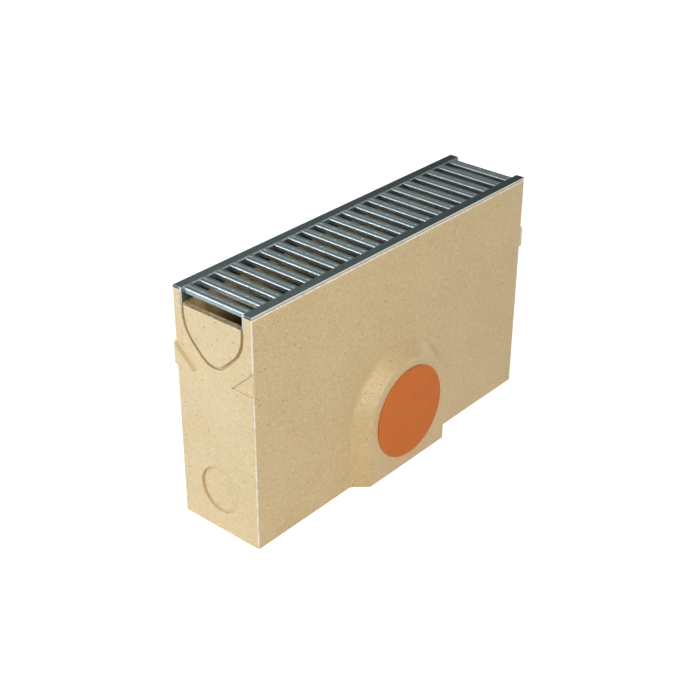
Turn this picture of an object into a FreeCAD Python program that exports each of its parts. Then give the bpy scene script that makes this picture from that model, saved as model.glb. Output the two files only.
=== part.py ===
import FreeCAD, Part
import math
import os
import re
import Sketcher

# A 0.5 m sump unit for a channel drain: a polymer concrete box, a pressed grating, a plugged pipe socket
# and a lift-out silt bucket. Millimetres, +Z up, origin at the centre of the underside, +X along the channel.

SIZES = {
    # Concrete box
    "body_length": (500, "length along the channel"),
    "body_width": (119, "width across the channel"),
    "body_height": (297, "height up to the wall tops"),
    "side_wall": (12, "long walls"),
    "end_wall": (12, "end walls"),
    "floor_depth": (16, "floor"),
    "corner_round": (1.8, "outer upright edges"),
    "top_round": (1.6, "outer top edges"),
    "cavity_round": (9, "upright corners inside"),
    # Channel mouth and the break-out panel below it
    "sill_drop": (17, "mouth, down from the wall tops"),
    "profile_half": (47, "half width of the channel outline"),
    "profile_drop": (63.5, "outline, from the sill down to its invert"),
    "profile_round": (28, "radius at the invert"),
    "shoulder_round": (50, "radius where the flank turns upright"),
    "flank_angle": (44, "flank of the outline, from level"),
    "groove_width": (4, "break-out groove"),
    "groove_depth": (3, "break-out groove"),
    "panel_recess": (4, "inside recess behind the break-out panel"),
    # Key that lines up the next channel
    "key_foot": (203, "underside of the key above the body's underside"),
    "key_rise": (29, "key, up the side face"),
    "key_reach": (32.5, "key, across the end face"),
    "key_depth": (3.5, "key, out from the end face"),
    "key_bevel": (2.4, "bevel along the key's slanting edge, measured across"),
    "key_play": (1, "recess wider than the key all round"),
    "recess_depth": (1.2, "recess for the next unit's key"),
    "recess_lip": (5.5, "bevel where the recess meets the side face"),
    # Round pipe knock-out in the end walls
    "knockout_radius": (29.5, "knock-out"),
    "knockout_height": (55, "knock-out centre above the underside"),
    "knockout_depth": (2.5, "knock-out, sunk into the wall"),
    # Outlet boss and socket
    "outlet_height": (75, "outlet centre above the underside"),
    "boss_depth": (18, "boss, out from the front wall"),
    "boss_half": (72.5, "half width of the boss face"),
    "boss_flare": (17, "boss, wider on each side at the wall"),
    "boss_round": (3, "edge of the boss face"),
    "boss_root": (7, "fillet at the foot of the boss"),
    "spigot_radius": (55, "outside of the pipe that fits the socket"),
    "socket_play": (0.4, "room round the pipe"),
    "socket_wall": (2.2, "socket, outside its seal chamber"),
    "cast_gap": (0.1, "socket to concrete"),
    "chamber_start": (7, "seal chamber, in from the boss face"),
    "chamber_length": (9, "seal chamber"),
    "chamber_depth": (2.5, "seal chamber, out from the socket bore"),
    "stop_length": (3, "pipe stop at the inner end"),
    "stop_height": (3.2, "pipe stop, in from the socket bore"),
    "seal_play": (0.2, "room round the sealing ring"),
    "lip_length": (3, "nose of the sealing ring"),
    "plug_flange": (60.5, "plug flange radius"),
    "plug_thick": (2.6, "plug flange and web"),
    "plug_bevel": (0.9, "edge of the plug flange"),
    "plug_length": (25, "plug spigot"),
    "plug_wall": (2.6, "plug spigot"),
    "plug_lead": (1.5, "bevel at the plug's inner end"),
    # Grating
    "rim_show": (0.3, "wall top left bare outside the grating"),
    "end_play": (0.2, "grating short of each end face"),
    "gauge": (1.5, "sheet"),
    "leg_play": (0.5, "legs to the walls, and the bend above them"),
    "leg_drop": (15, "legs, below the wall tops"),
    "rail_round": (2, "bend from the flange into the leg, at the slot ends"),
    "bar_width": (14, "bar"),
    "bar_pitch": (23.75, "bar to bar"),
    "bar_drop": (0.5, "bar tops, below the flange tops"),
    "bar_depth": (6, "bar, over its turned-down sides"),
    "bar_setback": (3.4, "set-back of the first bar, and at least of the last"),
    "bar_bite": (1.3, "bars, into the legs"),
    "fold_round": (1.6, "outside of a bar's left fold"),
    "back_bevel": (2.4, "bar tops, bent down along their right sides"),
    # Silt bucket and its bail
    "ledge_height": (203, "bucket ledge above the underside"),
    "ledge_width": (12, "bucket ledge at each end"),
    "bucket_play": (2.5, "bucket to the walls"),
    "bucket_depth": (68, "bucket, below the ledge"),
    "bucket_wall": (2, "bucket sides and floor"),
    "bucket_round": (10, "bucket corners"),
    "rim_thick": (2.5, "bucket rim"),
    "rim_reach": (7, "bucket rim beyond its long sides"),
    "slot_width": (12, "overflow slot"),
    "slot_height": (22, "overflow slot"),
    "slot_pitch": (38, "overflow slot to slot"),
    "slot_drop": (10, "overflow slots below the rim"),
    "slot_margin": (22, "plain wall beyond the end slots"),
    "ear_width": (11, "bail ear"),
    "ear_thick": (2.5, "bail ear"),
    "bail_thick": (4, "bail strap, and across its pins"),
    "bail_width": (6, "bail strap"),
    "bail_rest": (0.3, "strap above the rim when folded"),
    "bail_reach": (56, "bail, from its pins to its grip"),
    "grip_round": (9, "outer corners beside the grip"),
    "bail_side": (0.5, "strap to ear"),
    "pin_play": (0.3, "room round a pin in its ear"),
    "pin_tail": (1.2, "pin, past its ear"),
}

doc = FreeCAD.newDocument("sump_unit")
sheet = doc.addObject("Spreadsheet::Sheet", "Sizes")
for row, (alias, (number, note)) in enumerate(SIZES.items(), start=1):
    sheet.set(f"A{row}", alias)
    sheet.set(f"B{row}", str(number))
    sheet.set(f"C{row}", note)
    sheet.setAlias(f"B{row}", alias)
doc.recompute()

# Lengths that several pieces share
MOUTH_HALF = "(body_width / 2 - side_wall)"
CAVITY_HALF = "(body_length / 2 - end_wall)"
WELL_HALF = f"({CAVITY_HALF} - ledge_width)"
SILL = "(body_height - sill_drop)"
INVERT = f"({SILL} - profile_drop)"
OUTLET_FACE = "(body_width / 2 + boss_depth)"
SOCKET_LENGTH = "(boss_depth + side_wall)"
SOCKET_BORE = "(spigot_radius + socket_play)"
CHAMBER_RADIUS = f"({SOCKET_BORE} + chamber_depth)"
SOCKET_RADIUS = f"({CHAMBER_RADIUS} + socket_wall)"
FLANGE_THICK = "(2 * gauge)"
LEG_OUTER = f"({MOUTH_HALF} - leg_play)"
LEG_INNER = f"({LEG_OUTER} - gauge)"
BAR_ROOM = "(body_length - 2 * end_play - 2 * bar_setback - bar_width)"
BAR_COUNT = f"(floor({BAR_ROOM} / bar_pitch) + 1)"
RIM_HALF_LENGTH = f"({CAVITY_HALF} - bucket_play)"
RIM_HALF_WIDTH = f"({MOUTH_HALF} - bucket_play)"
TUB_HALF_LENGTH = f"({WELL_HALF} - bucket_play)"
TUB_HALF_WIDTH = f"({RIM_HALF_WIDTH} - rim_reach)"
SLOT_ROOM = f"(2 * {TUB_HALF_LENGTH} - 2 * slot_margin - slot_width)"
SLOT_COUNT = f"(floor({SLOT_ROOM} / slot_pitch) + 1)"
PIVOT_LIFT = "(rim_thick + bail_rest + bail_thick / 2)"
EAR_INNER = f"({RIM_HALF_WIDTH} - ear_thick)"
BOSS_SLOPE = "atan(boss_depth / boss_flare)"


def bound(expression):
    """The expression with each size addressed in the sheet."""
    return re.sub(r"[a-z]\w*", lambda word: f"Sizes.{word[0]}" if word[0] in SIZES else word[0], expression)


def value(expression):
    return float(doc.Sizes.evalExpression(expression))


def bind(thing, **properties):
    for name, expression in properties.items():
        thing.setExpression(name, bound(expression))


def new_body(name, x="0", y="0", z="0"):
    body = doc.addObject("PartDesign::Body", name)
    body.Label = name
    for axis, expression in zip("xyz", (x, y, z)):
        body.setExpression(f"Placement.Base.{axis}", bound(expression))
    return body


def origin(body, role):
    return next(feature for feature in body.Origin.OriginFeatures if feature.Role == role)


def new_sketch(body, name, plane, lift="0"):
    """An empty sketch on one of the body's own origin planes, lifted along its normal."""
    sketch = body.newObject("Sketcher::SketchObject", name)
    sketch.AttachmentSupport = [(origin(body, plane), "")]
    sketch.MapMode = "FlatFace"
    sketch.setExpression("AttachmentOffset.Base.z", bound(lift))
    return sketch


def arc_between(start, end, radius, left):
    """The shorter arc from start to end, turning left or right."""
    chord = end - start
    rise = math.sqrt(max(radius**2 - (chord.Length / 2) ** 2, 0.0))
    side = FreeCAD.Vector(-chord.y, chord.x, 0).normalize() * (rise if left else -rise)
    centre = (start + end) / 2 + side
    first, last = (start, end) if left else (end, start)
    begin = math.atan2(first.y - centre.y, first.x - centre.x)
    finish = math.atan2(last.y - centre.y, last.x - centre.x)
    circle = Part.Circle(centre, FreeCAD.Vector(0, 0, 1), radius)
    return Part.ArcOfCircle(circle, begin, finish)


def pin_point(sketch, geometry, end, x, y):
    """Hold a point of the sketch at a place worked out from the sheet."""
    for kind, expression in (("DistanceX", x), ("DistanceY", y)):
        index = sketch.addConstraint(Sketcher.Constraint(kind, -1, 1, geometry, end, value(expression)))
        sketch.setExpression(f"Constraints[{index}]", bound(expression))


def set_radius(sketch, geometry, radius):
    index = sketch.addConstraint(Sketcher.Constraint("Radius", geometry, value(radius)))
    sketch.setExpression(f"Constraints[{index}]", bound(radius))


def draw(sketch, corners, closed=True):
    """An outline through corners (x, y). A corner (x, y, radius, "left" or "right") starts an arc."""
    places = [FreeCAD.Vector(value(corner[0]), value(corner[1]), 0) for corner in corners]
    count = len(corners) if closed else len(corners) - 1
    first = sketch.GeometryCount
    ends = []
    for i in range(count):
        start, end = places[i], places[(i + 1) % len(places)]
        if len(corners[i]) > 2:
            left = corners[i][3] == "left"
            sketch.addGeometry(arc_between(start, end, value(corners[i][2]), left))
            ends.append((1, 2) if left else (2, 1))
        else:
            sketch.addGeometry(Part.LineSegment(start, end))
            ends.append((1, 2))
    for i in range(count if closed else count - 1):
        after = (i + 1) % count
        sketch.addConstraint(
            Sketcher.Constraint("Coincident", first + i, ends[i][1], first + after, ends[after][0])
        )
    for i in range(count):
        pin_point(sketch, first + i, ends[i][0], *corners[i][:2])
        if len(corners[i]) > 2:
            set_radius(sketch, first + i, corners[i][2])
    if not closed:
        pin_point(sketch, first + count - 1, ends[-1][1], *corners[-1][:2])


def draw_circle(sketch, x, y, radius):
    circle = Part.Circle(FreeCAD.Vector(value(x), value(y), 0), FreeCAD.Vector(0, 0, 1), value(radius))
    geometry = sketch.addGeometry(circle)
    pin_point(sketch, geometry, 3, x, y)
    set_radius(sketch, geometry, radius)


def mirrored(corners):
    """The same outline on the other side of the sketch's upright axis."""
    turned = {"left": "right", "right": "left"}
    return [(f"-({c[0]})", c[1], c[2], turned[c[3]]) if len(c) > 2 else (f"-({c[0]})", c[1]) for c in corners]


def rectangle(x0, y0, x1, y1):
    return [(x0, y0), (x1, y0), (x1, y1), (x0, y1)]


def round_rectangle(half_x, half_y, radius):
    """A centred rectangle with round corners, anticlockwise."""
    return [
        (f"-({half_x}) + {radius}", f"-({half_y})"),
        (f"{half_x} - {radius}", f"-({half_y})", radius, "left"),
        (half_x, f"-({half_y}) + {radius}"),
        (half_x, f"{half_y} - {radius}", radius, "left"),
        (f"{half_x} - {radius}", half_y),
        (f"-({half_x}) + {radius}", half_y, radius, "left"),
        (f"-({half_x})", f"{half_y} - {radius}"),
        (f"-({half_x})", f"-({half_y}) + {radius}", radius, "left"),
    ]


def walked_back(corners):
    """The same open outline walked the other way, with each arc kept on its own edge."""
    turned = {"left": "right", "right": "left"}
    back = []
    for i in range(len(corners) - 1, -1, -1):
        place = corners[i][:2]
        edge = corners[i - 1] if i else ()
        back.append((*place, edge[2], turned[edge[3]]) if len(edge) > 2 else place)
    return back


def both_ways(half):
    """A half outline followed by its mirror image, walked back. A shared point on the axis is kept once."""
    shared = half[-1][0] == "0"
    return half[: -1 if shared else None] + walked_back(mirrored(half))


def extrude(body, kind, name, sketch, length, symmetric=False, reverse=False):
    """A Pad or Pocket of a sketch."""
    feature = body.newObject(f"PartDesign::{kind}", name)
    feature.Profile = sketch
    feature.SideType = "Symmetric" if symmetric else "One side"
    feature.Reversed = reverse
    bind(feature, Length=length)
    return settle(body, feature)


def turn(body, kind, name, sketch, angle=360, reverse=False):
    """A Revolution or Groove of a sketch about its own upright axis."""
    feature = body.newObject(f"PartDesign::{kind}", name)
    feature.Profile = sketch
    feature.ReferenceAxis = (sketch, ["V_Axis"])
    feature.Angle = angle
    feature.Reversed = reverse
    return settle(body, feature)


def repeat(body, name, originals, spacing, count):
    """A row of copies along +X."""
    pattern = body.newObject("PartDesign::LinearPattern", name)
    pattern.Originals = originals
    pattern.Direction = (origin(body, "X_Axis"), [""])
    pattern.Mode = "Spacing"
    bind(pattern, Offset=spacing, Occurrences=count)
    return settle(body, pattern)


volumes = {}


def settle(body, feature):
    """Make the feature the body's tip, and see that it adds to the solid or cuts it."""
    before = volumes.get(body.Name, 0.0)
    body.Tip = feature
    doc.recompute()
    volumes[body.Name] = body.Shape.Volume
    if abs(volumes[body.Name] - before) < 1e-3 or not body.Shape.isValid():
        raise RuntimeError(f"{feature.Name} failed")
    return feature


def boss_section():
    """Half of the boss's section, from the tangent on the wall, up the flank, to the face."""
    root_run = f"boss_root * tan({BOSS_SLOPE} / 2)"
    edge_run = f"boss_round * tan({BOSS_SLOPE} / 2)"
    foot = "boss_half + boss_flare"
    wall = "-body_width / 2"
    face = f"-{OUTLET_FACE}"
    return [
        (f"{foot} + {root_run}", wall, "boss_root", "left"),
        (f"{foot} - {root_run} * cos({BOSS_SLOPE})", f"{wall} - {root_run} * sin({BOSS_SLOPE})"),
        (
            f"boss_half + {edge_run} * cos({BOSS_SLOPE})",
            f"{face} + {edge_run} * sin({BOSS_SLOPE})",
            "boss_round",
            "right",
        ),
        (f"boss_half - {edge_run}", face),
    ]


def add_boss(body):
    """The outlet boss: an arch standing on the ground line, turned above the outlet's centre."""
    half = boss_section()
    anchor = "-body_width / 2 + side_wall / 2"
    legs = new_sketch(body, "boss_legs_section", "XY_Plane")
    draw(legs, [(half[0][0], anchor)] + both_ways(half) + [(f"-({half[0][0]})", anchor)])
    extrude(body, "Pad", "boss_legs", legs, "outlet_height")
    crown = new_sketch(body, "boss_crown_section", "XY_Plane", "outlet_height")
    draw(crown, [("0", anchor), (half[0][0], anchor)] + half + [("0", half[-1][1])])
    turn(body, "Revolution", "boss_crown", crown, angle=180, reverse=True)


def cut_outlet(body):
    """The hole that the socket is cast into."""
    hole = new_sketch(body, "outlet_outline", "XZ_Plane", OUTLET_FACE)
    draw_circle(hole, "0", "outlet_height", f"{SOCKET_RADIUS} + cast_gap")
    extrude(body, "Pocket", "outlet", hole, f"{SOCKET_LENGTH} + cast_gap")


def channel_outline(offset):
    """Right half of the channel's cross-section from the sill down to its invert, set in by an offset."""
    sine = "sin(flank_angle)"
    cosine = "cos(flank_angle)"
    flank_run = f"(profile_half - shoulder_round * (1 - {sine}) - profile_round * {sine})"
    shoulder = (
        f"({INVERT} + profile_round * (1 - {cosine}) + {flank_run} * tan(flank_angle)"
        f" + shoulder_round * {cosine})"
    )
    return [
        (f"profile_half - {offset}", SILL),
        (f"profile_half - {offset}", shoulder, f"shoulder_round - {offset}", "right"),
        (
            f"profile_half - shoulder_round + (shoulder_round - {offset}) * {sine}",
            f"{shoulder} - (shoulder_round - {offset}) * {cosine}",
        ),
        (
            f"(profile_round - {offset}) * {sine}",
            f"{INVERT} + profile_round - (profile_round - {offset}) * {cosine}",
            f"profile_round - {offset}",
            "right",
        ),
        ("0", f"{INVERT} + {offset}"),
    ]


def end_details(body):
    """What the left end face carries: break-out groove, key, key recess and pipe knock-out."""
    end = "-body_length / 2"
    side = "body_width / 2"

    groove = new_sketch(body, "groove_outline", "YZ_Plane", end)
    outer = both_ways(channel_outline("0"))
    inner = both_ways(channel_outline("groove_width"))
    draw(groove, outer + walked_back(inner))
    break_groove = extrude(body, "Pocket", "break_groove", groove, "groove_depth", reverse=True)

    slant = "hypot(key_rise; key_reach)"
    sketches = []
    for name, lift, rise, reach in (
        ("key_foot_outline", end, "key_rise", "key_reach"),
        (
            "key_face_outline",
            f"{end} - key_depth",
            f"key_rise - key_bevel * {slant} / key_reach",
            f"key_reach - key_bevel * {slant} / key_rise",
        ),
    ):
        sketch = new_sketch(body, name, "YZ_Plane", lift)
        draw(sketch, [(side, "key_foot"), (side, f"key_foot + {rise}"), (f"{side} - ({reach})", "key_foot")])
        sketches.append(sketch)
    key = body.newObject("PartDesign::AdditiveLoft", "key")
    key.Profile = sketches[0]
    key.Sections = sketches[1:]
    key.Ruled = True
    settle(body, key)

    recess = new_sketch(body, "recess_outline", "YZ_Plane", end)
    low = "key_foot - key_play"
    high = "key_foot + key_rise + key_play"
    draw(recess, [(f"-{side}", low), (f"-{side} + key_reach + key_play", low), (f"-{side}", high)])
    key_recess = extrude(body, "Pocket", "key_recess", recess, "recess_depth", reverse=True)
    lip = new_sketch(body, "recess_lip_section", "XY_Plane", low)
    draw(lip, [(end, f"-{side}"), (f"{end} + 2 * recess_depth", f"-{side}"), (end, f"-{side} + recess_lip")])
    recess_bevel = extrude(body, "Pocket", "recess_bevel", lip, f"{high} - ({low})", reverse=True)

    knockout = new_sketch(body, "knockout_outline", "YZ_Plane", end)
    draw_circle(knockout, "0", "knockout_height", "knockout_radius")
    pipe_knockout = extrude(body, "Pocket", "pipe_knockout", knockout, "knockout_depth", reverse=True)
    return [break_groove, key, key_recess, recess_bevel, pipe_knockout]


def sump_body():
    """The box, cast in one piece."""
    body = new_body("sump_body")
    block = new_sketch(body, "block_outline", "XY_Plane")
    draw(block, round_rectangle("body_length / 2", "body_width / 2", "corner_round"))
    extrude(body, "Pad", "block", block, "body_height")

    # Worn outer edges of the long wall tops
    run = value("body_length - 2 * corner_round")
    edges = [
        f"Edge{i}"
        for i, edge in enumerate(body.Shape.Edges, start=1)
        if abs(edge.CenterOfMass.z - value("body_height")) < 1e-4 and abs(edge.Length - run) < 1e-4
    ]
    worn = body.newObject("PartDesign::Fillet", "worn_top_edges")
    worn.Base = (doc.block, edges)
    bind(worn, Radius="top_round")
    settle(body, worn)

    add_boss(body)

    # Cavity: a wide upper part, and a shorter well below the bucket ledges
    upper = new_sketch(body, "upper_cavity_outline", "XY_Plane", "body_height")
    draw(upper, round_rectangle(CAVITY_HALF, MOUTH_HALF, "cavity_round"))
    extrude(body, "Pocket", "upper_cavity", upper, "body_height - ledge_height")
    well = new_sketch(body, "well_outline", "XY_Plane", "ledge_height")
    draw(well, round_rectangle(WELL_HALF, MOUTH_HALF, "cavity_round"))
    extrude(body, "Pocket", "well", well, "ledge_height - floor_depth")

    # Mouths under the grating's ends, and the thin panels that break out for the next channel
    mouth = new_sketch(body, "mouth_outline", "YZ_Plane")
    draw(mouth, rectangle(f"-{MOUTH_HALF}", SILL, MOUTH_HALF, "body_height"))
    extrude(body, "Pocket", "mouths", mouth, "body_length", symmetric=True)
    panel = new_sketch(body, "panel_outline", "YZ_Plane")
    draw(panel, both_ways(channel_outline("groove_width")))
    extrude(body, "Pocket", "panels", panel, f"2 * ({CAVITY_HALF} + panel_recess)", symmetric=True)

    cut_outlet(body)

    # The right end is the left end turned half round
    details = end_details(body)
    ends = body.newObject("PartDesign::PolarPattern", "both_ends")
    ends.Originals = details
    ends.Axis = (origin(body, "Z_Axis"), [""])
    ends.Angle = 360
    ends.Occurrences = 2
    settle(body, ends)


def at_outlet(name):
    """A body whose Y axis is the outlet's, with its origin on the boss face."""
    return new_body(name, y=f"-{OUTLET_FACE}", z="outlet_height")


def outlet_socket():
    """Pipe socket, with a chamber for its seal and a stop for the pipe."""
    body = at_outlet("outlet_socket")
    chamber_end = "chamber_start + chamber_length"
    stop = f"{SOCKET_LENGTH} - stop_length"
    lip = f"{SOCKET_BORE} - stop_height"
    sketch = new_sketch(body, "socket_section", "XY_Plane")
    draw(
        sketch,
        [
            (SOCKET_BORE, "0"),
            (SOCKET_RADIUS, "0"),
            (SOCKET_RADIUS, SOCKET_LENGTH),
            (lip, SOCKET_LENGTH),
            (lip, stop),
            (SOCKET_BORE, stop),
            (SOCKET_BORE, chamber_end),
            (CHAMBER_RADIUS, chamber_end),
            (CHAMBER_RADIUS, "chamber_start"),
            (SOCKET_BORE, "chamber_start"),
        ],
    )
    turn(body, "Revolution", "socket", sketch)


def outlet_seal():
    """Rubber ring in the socket's chamber, with a nose on the pipe."""
    body = at_outlet("outlet_seal")
    back = f"{CHAMBER_RADIUS} - seal_play"
    nose = "spigot_radius + seal_play"
    middle = "chamber_start + chamber_length / 2"
    sketch = new_sketch(body, "seal_section", "XY_Plane")
    draw(
        sketch,
        [
            (back, "chamber_start + seal_play"),
            (back, "chamber_start + chamber_length - seal_play"),
            (nose, f"{middle} + lip_length / 2"),
            (nose, f"{middle} - lip_length / 2"),
        ],
    )
    turn(body, "Revolution", "seal", sketch)


def outlet_plug():
    """Push-in plug that closes the socket: a flanged disc on a short spigot."""
    body = at_outlet("outlet_plug")
    sketch = new_sketch(body, "plug_section", "XY_Plane")
    draw(
        sketch,
        [
            ("0", "-plug_thick"),
            ("plug_flange - plug_bevel", "-plug_thick"),
            ("plug_flange", "-plug_thick + plug_bevel"),
            ("plug_flange", "0"),
            ("spigot_radius", "0"),
            ("spigot_radius", "plug_length - plug_lead"),
            ("spigot_radius - plug_lead", "plug_length"),
            ("spigot_radius - plug_wall", "plug_length"),
            ("spigot_radius - plug_wall", "0"),
            ("0", "0"),
        ],
    )
    turn(body, "Revolution", "plug", sketch)


def grating():
    """Grating pressed from one sheet: hemmed flanges, legs inside the walls, and channel-shaped bars."""
    body = new_body("grating", z="body_height")
    flange_edge = "(body_width / 2 - rim_show)"

    flange = new_sketch(body, "flange_section", "YZ_Plane")
    side = [
        (f"{LEG_INNER} + rail_round", FLANGE_THICK),
        (f"{flange_edge} - gauge", FLANGE_THICK, "gauge", "right"),
        (flange_edge, "gauge", "gauge", "right"),
        (f"{flange_edge} - gauge", "0"),
        (f"{LEG_OUTER} + leg_play", "0", "leg_play", "left"),
        (LEG_OUTER, "-leg_play"),
        (LEG_OUTER, "-leg_drop"),
        (LEG_INNER, "-leg_drop"),
        (LEG_INNER, f"{FLANGE_THICK} - rail_round", "rail_round", "right"),
    ]
    draw(flange, side)
    draw(flange, mirrored(side))
    extrude(body, "Pad", "flanges", flange, "body_length - 2 * end_play", symmetric=True)

    # One bar, then the row
    left = "(-body_length / 2 + end_play + bar_setback)"
    right = f"({left} + bar_width)"
    span = f"2 * ({LEG_INNER} + bar_bite)"
    crown = f"({FLANGE_THICK} - bar_drop)"
    foot = f"({crown} - bar_depth)"
    inner_bevel = "(back_bevel + gauge * tan(45 deg / 2))"
    section = new_sketch(body, "bar_section", "XZ_Plane")
    draw(
        section,
        [
            (left, foot),
            (left, f"{crown} - fold_round", "fold_round", "right"),
            (f"{left} + fold_round", crown),
            (f"{right} - back_bevel", crown),
            (right, f"{crown} - back_bevel"),
            (right, foot),
            (f"{right} - gauge", foot),
            (f"{right} - gauge", f"{crown} - {inner_bevel}"),
            (f"{right} - {inner_bevel}", f"{crown} - gauge"),
            (f"{left} + gauge", f"{crown} - gauge"),
            (f"{left} + gauge", foot),
        ],
    )
    bar = extrude(body, "Pad", "bar", section, span, symmetric=True)
    repeat(body, "bars", [bar], "bar_pitch", BAR_COUNT)


def silt_bucket():
    """Lift-out bucket: its rim lies on the ledges, and slots let water over the silt."""
    body = new_body("silt_bucket", z="ledge_height")
    tub = new_sketch(body, "tub_outline", "XY_Plane")
    draw(tub, round_rectangle(TUB_HALF_LENGTH, TUB_HALF_WIDTH, "bucket_round"))
    extrude(body, "Pad", "tub", tub, "bucket_depth", reverse=True)
    rim = new_sketch(body, "rim_outline", "XY_Plane")
    draw(rim, round_rectangle(RIM_HALF_LENGTH, RIM_HALF_WIDTH, "bucket_round"))
    extrude(body, "Pad", "rim", rim, "rim_thick")
    inside = new_sketch(body, "inside_outline", "XY_Plane", "rim_thick")
    draw(
        inside,
        round_rectangle(
            f"({TUB_HALF_LENGTH} - bucket_wall)",
            f"({TUB_HALF_WIDTH} - bucket_wall)",
            "(bucket_round - bucket_wall)",
        ),
    )
    extrude(body, "Pocket", "inside", inside, "rim_thick + bucket_depth - bucket_wall")

    first = f"(-({SLOT_COUNT} - 1) * slot_pitch / 2)"
    slot = new_sketch(body, "overflow_outline", "XZ_Plane")
    draw(
        slot,
        rectangle(
            f"{first} - slot_width / 2", "-slot_drop - slot_height", f"{first} + slot_width / 2", "-slot_drop"
        ),
    )
    overflow = extrude(body, "Pocket", "overflow", slot, f"2 * {RIM_HALF_WIDTH}", symmetric=True)
    repeat(body, "overflows", [overflow], "slot_pitch", SLOT_COUNT)

    # Ears for the bail, flush with the rim's long edges
    ear = new_sketch(body, "ear_outline", "XZ_Plane", EAR_INNER)
    crown = "ear_width / 2"
    draw(
        ear,
        [
            (f"-{crown}", "rim_thick / 2"),
            (crown, "rim_thick / 2"),
            (crown, PIVOT_LIFT, crown, "left"),
            ("0", f"{PIVOT_LIFT} + {crown}", crown, "left"),
            (f"-{crown}", PIVOT_LIFT),
        ],
    )
    one_ear = extrude(body, "Pad", "ear", ear, "ear_thick")
    pivot = new_sketch(body, "pivot_outline", "XZ_Plane", RIM_HALF_WIDTH)
    draw_circle(pivot, "0", PIVOT_LIFT, "bail_thick / 2 + pin_play")
    hole = extrude(body, "Pocket", "ear_hole", pivot, "ear_thick")
    pair = body.newObject("PartDesign::Mirrored", "ears")
    pair.Originals = [one_ear, hole]
    pair.MirrorPlane = (origin(body, "XZ_Plane"), [""])
    settle(body, pair)


def hoop(half, reach, radius):
    """An open loop from the pivot line out to the grip and back, with round corners."""
    return [
        ("0", f"-({half})"),
        (f"{reach} - {radius}", f"-({half})", radius, "left"),
        (reach, f"-({half}) + {radius}"),
        (reach, f"{half} - {radius}", radius, "left"),
        (f"{reach} - {radius}", half),
        ("0", half),
    ]


def bucket_bail():
    """Moulded bail, folded flat towards +X, with its pins in the bucket's ears."""
    body = new_body("bucket_bail", z=f"ledge_height + {PIVOT_LIFT}")
    outer = f"({EAR_INNER} - bail_side)"
    inner = f"({outer} - bail_width)"
    strap = new_sketch(body, "strap_outline", "XY_Plane")
    outside = hoop(outer, "bail_reach", "grip_round")
    inside = hoop(inner, "(bail_reach - bail_width)", "(grip_round - bail_width)")
    draw(strap, outside + walked_back(inside))
    extrude(body, "Pad", "strap", strap, "bail_thick", symmetric=True)

    # Pins run through the strap's ends and round them off
    pin = new_sketch(body, "pin_outline", "XZ_Plane", inner)
    draw_circle(pin, "0", "0", "bail_thick / 2")
    one_pin = extrude(body, "Pad", "pin", pin, f"{RIM_HALF_WIDTH} + pin_tail - {inner}")
    pair = body.newObject("PartDesign::Mirrored", "pins")
    pair.Originals = [one_pin]
    pair.MirrorPlane = (origin(body, "XZ_Plane"), [""])
    settle(body, pair)


def write_parts():
    """Check every object, then write each body under its label."""
    doc.recompute()
    failed = [thing.Label for thing in doc.Objects if {"Invalid", "Error"} & set(thing.State)]
    if failed:
        raise RuntimeError(f"failed: {failed}")
    bodies = [thing for thing in doc.Objects if thing.TypeId == "PartDesign::Body"]
    for body in bodies:
        if body.Shape.isNull() or not body.Shape.isValid():
            raise RuntimeError(f"{body.Label} has no valid shape")
    os.makedirs("parts", exist_ok=True)
    for body in bodies:
        body.Shape.exportStep(f"parts/{body.Label}.step")


sump_body()
outlet_socket()
outlet_seal()
outlet_plug()
grating()
silt_bucket()
bucket_bail()
write_parts()
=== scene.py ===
import math

import bmesh
import bpy
from mathutils import Matrix, Vector


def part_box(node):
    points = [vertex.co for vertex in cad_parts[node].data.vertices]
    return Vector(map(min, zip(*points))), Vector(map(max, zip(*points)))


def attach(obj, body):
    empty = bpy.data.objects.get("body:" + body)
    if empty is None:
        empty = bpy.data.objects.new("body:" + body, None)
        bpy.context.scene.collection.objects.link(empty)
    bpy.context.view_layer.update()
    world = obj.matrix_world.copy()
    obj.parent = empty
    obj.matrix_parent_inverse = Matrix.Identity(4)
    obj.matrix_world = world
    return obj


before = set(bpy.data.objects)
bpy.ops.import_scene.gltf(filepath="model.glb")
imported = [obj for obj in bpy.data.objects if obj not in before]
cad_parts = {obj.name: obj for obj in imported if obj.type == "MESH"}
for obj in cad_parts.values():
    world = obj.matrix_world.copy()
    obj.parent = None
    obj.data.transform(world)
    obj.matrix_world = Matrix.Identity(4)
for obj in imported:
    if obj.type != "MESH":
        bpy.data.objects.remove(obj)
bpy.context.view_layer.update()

MM = 0.001

# The concrete box
BODY_HALF_LENGTH = 250 * MM
BODY_HALF_WIDTH = 59.5 * MM
BODY_HEIGHT = 297 * MM
SILL_HEIGHT = 280 * MM

# The grating's bars: how far the first is set back, their step and width, and their tops below the flanges
GRATING_LOW, GRATING_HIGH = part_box("grating")
BAR_COUNT = 21
BAR_SETBACK = 3.4 * MM
BAR_PITCH = 23.75 * MM
BAR_WIDTH = 14.0 * MM
BAR_DROP = 0.5 * MM
FIRST_BAR = GRATING_LOW[0] + BAR_SETBACK


# Node helpers

MASK_SAMPLES = 6
EDGE_TURN = (1.0, 0.80)
HOLLOW_SHADE = (0.75, 0.25)


def new_material(name):
    material = bpy.data.materials.new(name)
    material.use_nodes = True
    tree = material.node_tree
    tree.nodes.clear()
    output = tree.nodes.new("ShaderNodeOutputMaterial")
    shader = tree.nodes.new("ShaderNodeBsdfPrincipled")
    tree.links.new(shader.outputs["BSDF"], output.inputs["Surface"])
    return material, tree, shader


def link(tree, value, socket):
    """Join an output to a socket, or set a plain value on it."""
    if isinstance(value, bpy.types.NodeSocket):
        tree.links.new(value, socket)
    else:
        socket.default_value = value


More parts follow.
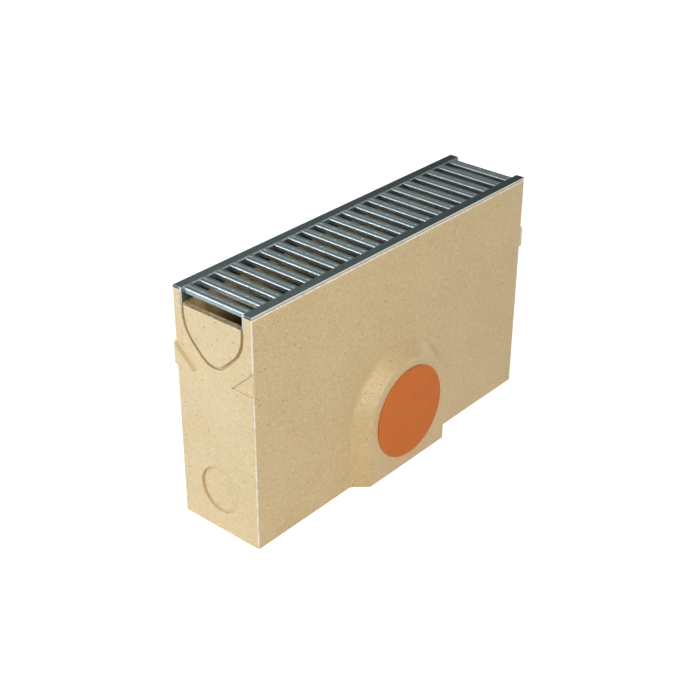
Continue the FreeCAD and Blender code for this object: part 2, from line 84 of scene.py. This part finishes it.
def math_node(tree, operation, first, second=0.0):
    node = tree.nodes.new("ShaderNodeMath")
    node.operation = operation
    link(tree, first, node.inputs[0])
    link(tree, second, node.inputs[1])
    return node.outputs[0]


def both(tree, first, second):
    """Two masks multiplied, or a mask weakened to a share."""
    return math_node(tree, "MULTIPLY", first, second)


def either(tree, first, second):
    return math_node(tree, "MAXIMUM", first, second)


def unsigned(tree, value):
    return math_node(tree, "ABSOLUTE", value)


def off_from(tree, value, centre):
    """How far a value lies from a centre, on either side."""
    return unsigned(tree, math_node(tree, "SUBTRACT", value, centre))


def ramp(tree, value, low, high, out_low=0.0, out_high=1.0):
    """Clamped linear change from out_low at low to out_high at high."""
    node = tree.nodes.new("ShaderNodeMapRange")
    node.clamp = True
    link(tree, value, node.inputs["Value"])
    limits = {"From Min": low, "From Max": high, "To Min": out_low, "To Max": out_high}
    for socket, number in limits.items():
        node.inputs[socket].default_value = number
    return node.outputs["Result"]


def mix(tree, factor, first, second):
    node = tree.nodes.new("ShaderNodeMix")
    node.data_type = "RGBA"
    link(tree, factor, node.inputs["Factor"])
    link(tree, first, node.inputs["A"])
    link(tree, second, node.inputs["B"])
    return node.outputs["Result"]


def tint(tree, tone, mask, share, colour):
    """A tone that takes up a share of a colour where the mask is 1."""
    return mix(tree, both(tree, mask, share), tone, colour)


def noise(tree, coordinates, scale, detail=3.0, roughness=0.5):
    node = tree.nodes.new("ShaderNodeTexNoise")
    tree.links.new(coordinates, node.inputs["Vector"])
    node.inputs["Scale"].default_value = scale
    node.inputs["Detail"].default_value = detail
    node.inputs["Roughness"].default_value = roughness
    return node.outputs["Fac"]


def cells(tree, coordinates, scale, output="Distance"):
    node = tree.nodes.new("ShaderNodeTexVoronoi")
    tree.links.new(coordinates, node.inputs["Vector"])
    node.inputs["Scale"].default_value = scale
    return node.outputs[output]


def cell_number(tree, coordinates, scale):
    """One random number for each cell, from 0 to 1."""
    node = tree.nodes.new("ShaderNodeSeparateColor")
    tree.links.new(cells(tree, coordinates, scale, "Color"), node.inputs["Color"])
    return node.outputs["Red"]


def place(tree):
    """The place on the object, in metres in the shared frame."""
    return tree.nodes.new("ShaderNodeTexCoord").outputs["Object"]


def split_axes(tree, vector):
    node = tree.nodes.new("ShaderNodeSeparateXYZ")
    tree.links.new(vector, node.inputs["Vector"])
    return node.outputs["X"], node.outputs["Y"], node.outputs["Z"]


def facing(tree):
    """The three parts of the direction a face looks in."""
    return split_axes(tree, tree.nodes.new("ShaderNodeNewGeometry").outputs["Normal"])


def stretched(tree, coordinates, scale):
    node = tree.nodes.new("ShaderNodeMapping")
    tree.links.new(coordinates, node.inputs["Vector"])
    node.inputs["Scale"].default_value = scale
    return node.outputs["Vector"]


def edge_mask(tree, radius):
    """A mask, 1 on a sharp edge and 0 on a flat face, and the rounded normal that it is made from."""
    bevel = tree.nodes.new("ShaderNodeBevel")
    bevel.samples = MASK_SAMPLES
    bevel.inputs["Radius"].default_value = radius
    geometry = tree.nodes.new("ShaderNodeNewGeometry")
    dot = tree.nodes.new("ShaderNodeVectorMath")
    dot.operation = "DOT_PRODUCT"
    tree.links.new(bevel.outputs["Normal"], dot.inputs[0])
    tree.links.new(geometry.outputs["Normal"], dot.inputs[1])
    return ramp(tree, dot.outputs["Value"], *EDGE_TURN), bevel.outputs["Normal"]


def hollow_mask(tree, distance):
    """1 deep in a groove or corner, 0 out in the open."""
    shade = tree.nodes.new("ShaderNodeAmbientOcclusion")
    shade.samples = MASK_SAMPLES
    shade.inputs["Distance"].default_value = distance
    return ramp(tree, shade.outputs["AO"], *HOLLOW_SHADE)


def bump(tree, height, strength, distance, normal=None):
    node = tree.nodes.new("ShaderNodeBump")
    node.inputs["Strength"].default_value = strength
    node.inputs["Distance"].default_value = distance
    tree.links.new(height, node.inputs["Height"])
    if normal is not None:
        tree.links.new(normal, node.inputs["Normal"])
    return node.outputs["Normal"]


# Polymer concrete

# Pattern sizes, in features per metre
BLOTCH_SCALE = 14.0
MOTTLE_SCALE = 170.0
GRAIN_SCALE = 750.0
SPECK_SCALE = 330.0
PIT_SCALE = 95.0

# Where each mask by place starts and where it is full
SIDE_STRIP = (BODY_HALF_WIDTH - 1.5 * MM, BODY_HALF_WIDTH - 0.7 * MM)
END_STRIP = (BODY_HALF_LENGTH - 1.5 * MM, BODY_HALF_LENGTH - 0.7 * MM)
TOP_STRIP = (BODY_HEIGHT - 2.4 * MM, BODY_HEIGHT - 1.4 * MM)
SILL_REACH = (0.3 * MM, 0.1 * MM)
INSIDE_ACROSS = (49.0 * MM, 48.0 * MM)
INSIDE_ALONG = (245.0 * MM, 244.0 * MM)
INSIDE_UPPER = (225 * MM, 262 * MM)
MOUTH_EDGES = (274 * MM, 276 * MM)
KEY_PROUD = (250.1 * MM, 250.4 * MM)
KEY_SLOPE = (0.97, 0.90)

SAND_DARK = (0.598, 0.436, 0.206, 1)
SAND_LIGHT = (0.643, 0.479, 0.240, 1)
MOTTLE_TONE = (0.73, 0.595, 0.37, 1)
GRAIN_DARK = (0.38, 0.27, 0.135, 1)
GRAIN_LIGHT = (0.86, 0.76, 0.56, 1)
# Painted shade low on the inner walls and painted light higher up
INSIDE_PAINTED_SHADE = (0.20, 0.135, 0.065, 1)
INSIDE_PAINTED_LIGHT = (0.95, 0.66, 0.30, 1)
SPECK_DARK = (0.24, 0.16, 0.08, 1)
SPECK_LIGHT = (0.93, 0.86, 0.70, 1)
# Painted shade in the air pits
PIT_PAINTED_SHADE = (0.16, 0.10, 0.05, 1)
SILL_TONE = (0.30, 0.21, 0.115, 1)
# Wear and painted highlight on the edges, then painted shade on the key flanks and in the grooves
EDGE_WEAR_AND_HIGHLIGHT = (0.94, 0.88, 0.77, 1)
KEY_FLANK_PAINTED_SHADE = (0.43, 0.31, 0.145, 1)
GROOVE_PAINTED_SHADE = (0.43, 0.29, 0.125, 1)
CONCRETE_GLOSS = 0.45


def concrete_masks(tree, spot):
    """Masks of the outer edges that take wear and painted highlight, the sills, the inner walls, their upper
    part and the mouths' edges.
    """
    x, y, high = split_axes(tree, spot)
    along = unsigned(tree, x)
    across = unsigned(tree, y)
    near_side = ramp(tree, across, *SIDE_STRIP)
    near_end = ramp(tree, along, *END_STRIP)
    near_top = ramp(tree, high, *TOP_STRIP)
    edge_wear_and_highlight = both(tree, near_side, either(tree, near_end, near_top))
    sill = ramp(tree, off_from(tree, high, SILL_HEIGHT), *SILL_REACH)
    within = both(tree, ramp(tree, across, *INSIDE_ACROSS), ramp(tree, along, *INSIDE_ALONG))
    upper = ramp(tree, high, *INSIDE_UPPER)
    at_mouth = ramp(tree, high, *MOUTH_EDGES)
    return edge_wear_and_highlight, sill, within, upper, at_mouth


def key_flanks(tree, spot):
    """1 on the sloping sides of the keys that stand out from the end walls."""
    along = split_axes(tree, spot)[0]
    endward = facing(tree)[0]
    proud = ramp(tree, unsigned(tree, along), *KEY_PROUD)
    return both(tree, proud, ramp(tree, unsigned(tree, endward), *KEY_SLOPE))


def polymer_concrete():
    material, tree, shader = new_material("polymer_concrete")
    spot = place(tree)
    blotch = noise(tree, spot, BLOTCH_SCALE)
    mottle = noise(tree, spot, MOTTLE_SCALE)
    grain = noise(tree, spot, GRAIN_SCALE, roughness=0.7)
    edge_wear_and_highlight, sill, within, upper, at_mouth = concrete_masks(tree, spot)

    # Sandy ground in three grain sizes; on the inner walls, painted shade low down and painted light higher
    # up
    tone = mix(tree, ramp(tree, blotch, 0.3, 0.7), SAND_DARK, SAND_LIGHT)
    tone = mix(tree, ramp(tree, mottle, 0.35, 0.7, out_high=0.30), tone, MOTTLE_TONE)
    tone = mix(tree, ramp(tree, grain, 0.34, 0.54, out_low=0.40, out_high=0.0), tone, GRAIN_DARK)
    tone = mix(tree, ramp(tree, grain, 0.56, 0.72, out_high=0.5), tone, GRAIN_LIGHT)
    inner = mix(tree, upper, INSIDE_PAINTED_SHADE, INSIDE_PAINTED_LIGHT)
    tone = tint(tree, tone, within, 0.9, inner)

    # Sand grains: dark specks in a few of the cells, light ones in others
    speck = ramp(tree, cells(tree, spot, SPECK_SCALE), 0.32, 0.16)
    kind = cell_number(tree, spot, SPECK_SCALE)
    dark = both(tree, speck, ramp(tree, kind, 0.10, 0.08))
    light = both(tree, speck, ramp(tree, kind, 0.90, 0.92))
    tone = tint(tree, tone, dark, 0.6, SPECK_DARK)
    tone = tint(tree, tone, light, 0.55, SPECK_LIGHT)

    # Air pits in most of the larger cells, with painted shade in them
    pit = ramp(tree, cells(tree, spot, PIT_SCALE), 0.110, 0.06)
    pits = both(tree, pit, ramp(tree, cell_number(tree, spot, PIT_SCALE), 0.80, 0.78))
    tone = tint(tree, tone, pits, 0.85, PIT_PAINTED_SHADE)

    # Broken sills, pale edges of wear and painted highlight, painted shade on the key flanks, and painted
    # shade in the grooves and corners
    broken = ramp(tree, mottle, 0.40, 0.55, out_low=0.7, out_high=0.1)
    tone = tint(tree, tone, sill, broken, SILL_TONE)
    edges, soft_normal = edge_mask(tree, 1.2 * MM)
    pale = either(tree, both(tree, edges, at_mouth), edge_wear_and_highlight)
    patchy = ramp(tree, mottle, 0.35, 0.55, out_low=0.45)
    tone = tint(tree, tone, pale, patchy, EDGE_WEAR_AND_HIGHLIGHT)
    tone = tint(tree, tone, key_flanks(tree, spot), 0.42, KEY_FLANK_PAINTED_SHADE)
    tone = tint(tree, tone, hollow_mask(tree, 6 * MM), 0.27, GROOVE_PAINTED_SHADE)
    link(tree, tone, shader.inputs["Base Color"])
    link(tree, ramp(tree, grain, 0.3, 0.7, out_low=0.32, out_high=0.44), shader.inputs["Roughness"])
    shader.inputs["Specular IOR Level"].default_value = CONCRETE_GLOSS

    height = math_node(tree, "SUBTRACT", grain, both(tree, pits, 2.0))
    height = math_node(tree, "ADD", height, both(tree, sill, mottle))
    link(tree, bump(tree, height, 0.45, 0.3 * MM, soft_normal), shader.inputs["Normal"])
    return material


# Galvanised steel

SPANGLE_SCALE = 210.0
CLOUD_SCALE = 60.0
STREAK_STRETCH = (40.0, 700.0, 300.0)

# Across the grating, from its middle outwards
LEG_INNER = (45.0 * MM, 45.5 * MM)
LEG_OUTER = (49.0 * MM, 48.5 * MM)
INSIDE_FLANGE = (46.2 * MM, 45.4 * MM)
FLANGE = (46.4 * MM, 47.2 * MM)
OUTER_HALF = (52 * MM, 54 * MM)
HEM_FACE = (56.0 * MM, 57.0 * MM)

# Along one bar's top, from its left fold
CREASE_SET = 3.0 * MM
CREASE_REACH = (1.7 * MM, 0.5 * MM)
BACK_REACH = (5.4 * MM, 9.6 * MM)
SLOT_START = (BAR_WIDTH - 1.0 * MM, BAR_WIDTH)

# Along the whole grating
BEHIND_FIRST = (FIRST_BAR + BAR_WIDTH, FIRST_BAR + BAR_PITCH)
FAR_BARS = (0.0, BODY_HALF_LENGTH)
FAR_RIM = (-200 * MM, 220 * MM)
WHOLE_LENGTH = (-BODY_HALF_LENGTH, BODY_HALF_LENGTH)

# How far a normal leans on a fold, and how squarely it faces on a flat
FOLD_LEAN = (0.40, 0.60)
SQUARE_ON = (0.6, 0.9)

BAR_DARK = (0.255, 0.300, 0.302, 1)
BAR_LIGHT = (0.300, 0.346, 0.348, 1)
# Painted shade on the first bar's left side and painted light on the other bars' left sides
FIRST_SIDE_PAINTED_SHADE = (0.250, 0.285, 0.283, 1)
OTHER_SIDES_PAINTED_LIGHT = (0.380, 0.420, 0.400, 1)
# Dark zinc, used for mottle and for painted shade
ZINC_MOTTLE_AND_PAINTED_SHADE = (0.05, 0.065, 0.066, 1)
# Painted shade in the crease and at the back of each bar top
CREASE_PAINTED_SHADE = (0.066, 0.085, 0.086, 1)
BACK_PAINTED_SHADE = (0.082, 0.104, 0.105, 1)
# Flange zinc, darkened by painted shade, most of all at the far end
RIM_DARK = (0.070, 0.092, 0.092, 1)
RIM_LIGHT = (0.090, 0.114, 0.113, 1)
RIM_FAR_PAINTED_SHADE = (0.012, 0.016, 0.015, 1)
CUT_END_TONE = (0.62, 0.64, 0.64, 1)
# Painted highlight and wear on the folds, painted highlight on the hem and its side, painted highlight and
# wear on sharp edges, painted shade in the slots
FOLD_HIGHLIGHT_AND_WEAR = (0.50, 0.505, 0.49, 1)
HEM_PAINTED_HIGHLIGHT = (0.80, 0.79, 0.76, 1)
HEM_SIDE_PAINTED_HIGHLIGHT = (0.66, 0.63, 0.57, 1)
EDGE_HIGHLIGHT_AND_WEAR = (0.50, 0.54, 0.55, 1)
SLOT_PAINTED_SHADE = (0.045, 0.050, 0.048, 1)
ZINC_METALLIC = 0.85
ZINC_GLOSS_TINT = (0.50, 0.55, 0.55, 1)


def fold_masks(tree):
    """1 on folds from up to along X, on folds from up to along Y, then on faces up, left and sideways."""
    x, y, up = facing(tree)
    sideways = unsigned(tree, y)
    bar_folds = ramp(tree, math_node(tree, "MINIMUM", unsigned(tree, x), up), *FOLD_LEAN)
    long_folds = ramp(tree, math_node(tree, "MINIMUM", sideways, up), *FOLD_LEAN)
    leftward = ramp(tree, x, -SQUARE_ON[0], -SQUARE_ON[1])
    return bar_folds, long_folds, ramp(tree, up, *SQUARE_ON), leftward, ramp(tree, sideways, *SQUARE_ON)


def galvanised_steel():
    material, tree, shader = new_material("galvanised_steel")
    spot = place(tree)
    along, y, _ = split_axes(tree, spot)
    across = unsigned(tree, y)
    spangle = cell_number(tree, spot, SPANGLE_SCALE)
    cloud = noise(tree, spot, CLOUD_SCALE)
    streak = noise(tree, stretched(tree, spot, STREAK_STRETCH), 1.0, detail=2.0)
    bar_folds, long_folds, upward, leftward, sideways = fold_masks(tree)

    # Bars: painted shade in a crease behind the fold, towards the back of each top and towards the far end;
    # painted shade on the first bar's left side and painted light on the other bars' left sides
    past_fold = math_node(tree, "SUBTRACT", along, FIRST_BAR)
    on_bar = math_node(tree, "FLOORED_MODULO", past_fold, BAR_PITCH)
    crease = both(tree, ramp(tree, off_from(tree, on_bar, CREASE_SET), *CREASE_REACH), upward)
    crease = both(tree, crease, ramp(tree, across, *INSIDE_FLANGE))
    back = both(tree, ramp(tree, on_bar, *BACK_REACH), upward)
    bars = mix(tree, spangle, BAR_DARK, BAR_LIGHT)
    sides = mix(tree, ramp(tree, along, *BEHIND_FIRST), FIRST_SIDE_PAINTED_SHADE, OTHER_SIDES_PAINTED_LIGHT)
    bars = tint(tree, bars, leftward, 0.85, sides)
    bars = mix(tree, ramp(tree, along, *FAR_BARS, out_high=0.45), bars, ZINC_MOTTLE_AND_PAINTED_SHADE)
    bars = tint(tree, bars, crease, 0.92, CREASE_PAINTED_SHADE)
    bars = tint(tree, bars, back, 0.85, BACK_PAINTED_SHADE)

    # Flanges: painted shade makes them darker than the bars, most of all at the far end
    rim = mix(tree, spangle, RIM_DARK, RIM_LIGHT)
    rim = mix(tree, ramp(tree, along, *FAR_RIM, out_high=0.88), rim, RIM_FAR_PAINTED_SHADE)
    tone = mix(tree, ramp(tree, across, *FLANGE), bars, rim)
    tone = mix(tree, ramp(tree, cloud, 0.35, 0.65, out_low=0.22, out_high=0.0), tone, ZINC_MOTTLE_AND_PAINTED_SHADE)

    # Bare steel on the cut ends of the legs
    on_leg = both(tree, ramp(tree, across, *LEG_OUTER), ramp(tree, across, *LEG_INNER))
    tone = tint(tree, tone, both(tree, leftward, on_leg), 0.6, CUT_END_TONE)

    # Painted highlight and wear on the folds, fainter towards the far end; those at the slot ends stop at
    # the bars
    outer = ramp(tree, across, *OUTER_HALF)
    long_folds = both(tree, long_folds, either(tree, ramp(tree, on_bar, *SLOT_START), outer))
    fold_highlight_share = ramp(tree, along, *WHOLE_LENGTH, out_low=0.36, out_high=0.12)
    tone = tint(tree, tone, either(tree, bar_folds, long_folds), fold_highlight_share, FOLD_HIGHLIGHT_AND_WEAR)
    # Painted highlight on the hem and on its side
    tone = tint(tree, tone, both(tree, long_folds, outer), 0.85, HEM_PAINTED_HIGHLIGHT)
    hem_sides = both(tree, sideways, ramp(tree, across, *HEM_FACE))
    tone = tint(tree, tone, hem_sides, 0.75, HEM_SIDE_PAINTED_HIGHLIGHT)
    # Painted highlight and wear on sharp edges, and painted shade deep in the slots and corners
    edges, soft_normal = edge_mask(tree, 0.8 * MM)
    tone = tint(tree, tone, edges, 0.45, EDGE_HIGHLIGHT_AND_WEAR)
    tone = tint(tree, tone, hollow_mask(tree, 9 * MM), 0.5, SLOT_PAINTED_SHADE)
    link(tree, tone, shader.inputs["Base Color"])
    shader.inputs["Metallic"].default_value = ZINC_METALLIC
    shader.inputs["Specular Tint"].default_value = ZINC_GLOSS_TINT

    # Roughness by crystal and rolling streak; the crease is pressed in a little
    by_crystal = ramp(tree, spangle, 0.0, 1.0, out_low=0.30, out_high=0.42)
    by_streak = ramp(tree, streak, 0.3, 0.7, out_low=-0.04, out_high=0.06)
    link(tree, math_node(tree, "ADD", by_crystal, by_streak), shader.inputs["Roughness"])
    pressed = bump(tree, ramp(tree, crease, 0.0, 1.0, out_low=1.0, out_high=0.0), 0.6, 0.4 * MM, soft_normal)
    rolled = math_node(tree, "ADD", cloud, both(tree, streak, 0.5))
    link(tree, bump(tree, rolled, 0.15, 0.2 * MM, pressed), shader.inputs["Normal"])
    return material


# Plastics and rubber

PLASTIC_CLOUD_SCALE = 45.0
PLASTIC_GRAIN_SCALE = 1500.0
PLASTIC_GLOSS = 0.18
# How dark the painted shade in the gaps is, as a share of the part's colour
GAP_PAINTED_SHADE_FACTOR = 0.3
ORANGE_DARK = (0.585, 0.142, 0.018, 1)
ORANGE_LIGHT = (0.645, 0.163, 0.024, 1)
# Painted highlight on the orange edges
ORANGE_EDGE_HIGHLIGHT = (0.78, 0.30, 0.09, 1)
GREY_DARK = (0.045, 0.048, 0.052, 1)
GREY_LIGHT = (0.065, 0.069, 0.074, 1)
# Painted highlight on the grey edges
GREY_EDGE_HIGHLIGHT = (0.14, 0.14, 0.145, 1)
RUBBER_CLOUD_SCALE = 200.0
RUBBER_DARK = (0.012, 0.012, 0.013, 1)
RUBBER_LIGHT = (0.035, 0.034, 0.033, 1)


def moulded_plastic(name, dark, light, roughness, edge_highlight):
    material, tree, shader = new_material(name)
    spot = place(tree)
    cloud = noise(tree, spot, PLASTIC_CLOUD_SCALE)
    grain = noise(tree, spot, PLASTIC_GRAIN_SCALE, detail=2.0)
    clouded = ramp(tree, cloud, 0.3, 0.7)
    tone = mix(tree, clouded, dark, light)
    # Painted highlight on the edges and painted shade in the gaps around the part
    edges, soft_normal = edge_mask(tree, 0.7 * MM)
    tone = tint(tree, tone, edges, 0.6, edge_highlight)
    gap_painted_shade = tuple(GAP_PAINTED_SHADE_FACTOR * channel for channel in dark[:3]) + (1,)
    tone = tint(tree, tone, hollow_mask(tree, 3 * MM), 0.6, gap_painted_shade)
    link(tree, tone, shader.inputs["Base Color"])
    rough = ramp(tree, cloud, 0.3, 0.7, out_low=roughness - 0.05, out_high=roughness + 0.07)
    link(tree, rough, shader.inputs["Roughness"])
    shader.inputs["Specular IOR Level"].default_value = PLASTIC_GLOSS
    link(tree, bump(tree, grain, 0.12, 0.1 * MM, soft_normal), shader.inputs["Normal"])
    return material


def seal_rubber():
    material, tree, shader = new_material("seal_rubber")
    cloud = noise(tree, place(tree), RUBBER_CLOUD_SCALE)
    link(tree, mix(tree, cloud, RUBBER_DARK, RUBBER_LIGHT), shader.inputs["Base Color"])
    link(tree, ramp(tree, cloud, 0.3, 0.7, out_low=0.6, out_high=0.75), shader.inputs["Roughness"])
    link(tree, bump(tree, cloud, 0.2, 0.1 * MM), shader.inputs["Normal"])
    return material


def dress(node, material):
    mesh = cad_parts[node].data
    mesh.materials.clear()
    mesh.materials.append(material)


concrete = polymer_concrete()
zinc = galvanised_steel()
orange = moulded_plastic("orange_plastic", ORANGE_DARK, ORANGE_LIGHT, 0.5, ORANGE_EDGE_HIGHLIGHT)
grey = moulded_plastic("bucket_plastic", GREY_DARK, GREY_LIGHT, 0.45, GREY_EDGE_HIGHLIGHT)
dress("sump_body", concrete)
dress("grating", zinc)
dress("outlet_plug", orange)
dress("outlet_socket", orange)
dress("outlet_seal", seal_rubber())
dress("silt_bucket", grey)
dress("bucket_bail", grey)


# Pips pressed up along the top of each bar. The rings give each one's share of the radius and of the height.

PIP_SET = 7.6 * MM
PIP_RADIUS = 1.9 * MM
PIP_HEIGHT = 0.48 * MM
PIP_PLACES = [-42.4 * MM, -20.8 * MM, 0.8 * MM, 22.4 * MM, 43.4 * MM]
PIP_RINGS = ((1.0, -0.25), (0.84, 0.15), (0.60, 0.62), (0.30, 0.92))
PIP_SIDES = 16


def add_pip(mesh, x, y, z):
    """A low dome on rings from its foot, sunk in the bar, up to its crown."""
    rings = []
    for share, lift in PIP_RINGS:
        radius = PIP_RADIUS * share
        ring = []
        for i in range(PIP_SIDES):
            angle = 2 * math.pi * i / PIP_SIDES
            rim = (x + radius * math.cos(angle), y + radius * math.sin(angle), z + PIP_HEIGHT * lift)
            ring.append(mesh.verts.new(rim))
        rings.append(ring)
    crown = mesh.verts.new((x, y, z + PIP_HEIGHT))
    for low, high in zip(rings, rings[1:]):
        for i in range(PIP_SIDES):
            j = (i + 1) % PIP_SIDES
            mesh.faces.new((low[i], low[j], high[j], high[i]))
    for i in range(PIP_SIDES):
        mesh.faces.new((rings[-1][i], rings[-1][(i + 1) % PIP_SIDES], crown))
    mesh.faces.new(list(reversed(rings[0])))


pips = bmesh.new()
for bar in range(BAR_COUNT):
    for y in PIP_PLACES:
        add_pip(pips, FIRST_BAR + bar * BAR_PITCH + PIP_SET, y, GRATING_HIGH[2] - BAR_DROP)
for face in pips.faces:
    face.smooth = True
pip_mesh = bpy.data.meshes.new("bar_pips")
pips.to_mesh(pip_mesh)
pips.free()
pip_mesh.materials.append(zinc)
bar_pips = bpy.data.objects.new("bar_pips", pip_mesh)
bpy.context.scene.collection.objects.link(bar_pips)
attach(bar_pips, "sump")


# Stage and light

WHITE = (1, 1, 1, 1)
FLOOR_SIZE = 12.0
FLOOR_HEIGHT = -0.5 * MM
FLOOR_TONE = (0.90, 0.90, 0.90, 1)
FLOOR_ROUGHNESS = 0.9
# The floor's own white, as seen, grows with the distance from the object, so that its shadow stays
GLOW_REACH = (1.0, 3.0)
GLOW_NEAR = 0.66
GLOW_FAR = 0.95
WORLD_LIGHT = 0.06

# Name, place, width in metres, power in watts and colour
LIT_POINT = (0.0, 0.0, 0.15)
LAMPS = (
    ("left", (-1.95, 1.7, 0.7), 1.2, 64.0, (0.75, 0.84, 1.0)),
    ("upper_left", (-1.3, -0.5, 2.2), 1.0, 11.0, (0.86, 0.92, 1.0)),
    ("front", (-1.4, -2.5, 0.95), 1.6, 32.0, (1.0, 0.94, 0.84)),
    ("sheen", (-0.5, -2.4, 1.95), 0.6, 16.5, (0.95, 0.955, 0.965)),
    ("top", (0.2, 0.0, 2.6), 1.8, 8.0, (1, 1, 1)),
    ("far_fill", (2.3, 0.2, 0.3), 0.8, 9.0, (1, 1, 1)),
)


def seen_rays(tree):
    """1 for rays from the camera, by gloss or through glass; 0 for those that light the object."""
    path = tree.nodes.new("ShaderNodeLightPath")
    seen = either(tree, path.outputs["Is Camera Ray"], path.outputs["Is Glossy Ray"])
    return either(tree, seen, path.outputs["Is Transmission Ray"])


def stage_floor():
    bpy.ops.mesh.primitive_plane_add(size=FLOOR_SIZE, location=(0, 0, FLOOR_HEIGHT))
    floor = bpy.context.object
    floor.name = "floor"
    material, tree, shader = new_material("floor_paper")
    shader.inputs["Base Color"].default_value = FLOOR_TONE
    shader.inputs["Roughness"].default_value = FLOOR_ROUGHNESS
    shader.inputs["Emission Color"].default_value = WHITE
    distance = tree.nodes.new("ShaderNodeVectorMath")
    distance.operation = "LENGTH"
    tree.links.new(place(tree), distance.inputs[0])
    glow = ramp(tree, distance.outputs["Value"], *GLOW_REACH, out_low=GLOW_NEAR, out_high=GLOW_FAR)
    link(tree, both(tree, seen_rays(tree), glow), shader.inputs["Emission Strength"])
    floor.data.materials.append(material)


def white_world():
    world = bpy.data.worlds.new("studio")
    bpy.context.scene.world = world
    world.use_nodes = True
    tree = world.node_tree
    back = tree.nodes["Background"]
    back.inputs["Color"].default_value = WHITE
    strength = ramp(tree, seen_rays(tree), 0.0, 1.0, out_low=WORLD_LIGHT)
    link(tree, strength, back.inputs["Strength"])


def area_light(name, stand, width, power, colour):
    lamp = bpy.data.lights.new(name, "AREA")
    lamp.size = width
    lamp.energy = power
    lamp.color = colour
    holder = bpy.data.objects.new(name, lamp)
    holder.location = stand
    holder.rotation_euler = (Vector(LIT_POINT) - Vector(stand)).to_track_quat("-Z", "Y").to_euler()
    bpy.context.scene.collection.objects.link(holder)


# Camera, fitted to the corners in the photograph; angles in degrees

CAMERA_PLACE = (-1.1198, -0.9310, 0.9701)
CAMERA_AZIMUTH = -49.705
CAMERA_ELEVATION = 29.929
CAMERA_ROLL = 0.422
FOCAL_PIXELS = 1355.75
FRAME_PIXELS = 700
SENSOR = 36.0


def photo_camera():
    data = bpy.data.cameras.new("photo_camera")
    data.sensor_width = SENSOR
    data.lens = FOCAL_PIXELS / FRAME_PIXELS * SENSOR
    camera = bpy.data.objects.new("photo_camera", data)
    azimuth, elevation, roll = (math.radians(a) for a in (CAMERA_AZIMUTH, CAMERA_ELEVATION, CAMERA_ROLL))
    level = math.cos(elevation)
    back = Vector((math.sin(azimuth) * level, -math.cos(azimuth) * level, math.sin(elevation)))
    right = Vector((0, 0, 1)).cross(back).normalized()
    up = back.cross(right)
    upright = Matrix((right, up, back)).transposed()
    turned = upright @ Matrix.Rotation(roll, 3, "Z")
    camera.matrix_world = Matrix.Translation(CAMERA_PLACE) @ turned.to_4x4()
    bpy.context.scene.collection.objects.link(camera)
    bpy.context.scene.camera = camera


stage_floor()
white_world()
for lamp_values in LAMPS:
    area_light(*lamp_values)
photo_camera()
bpy.context.scene.view_settings.view_transform = "Standard"
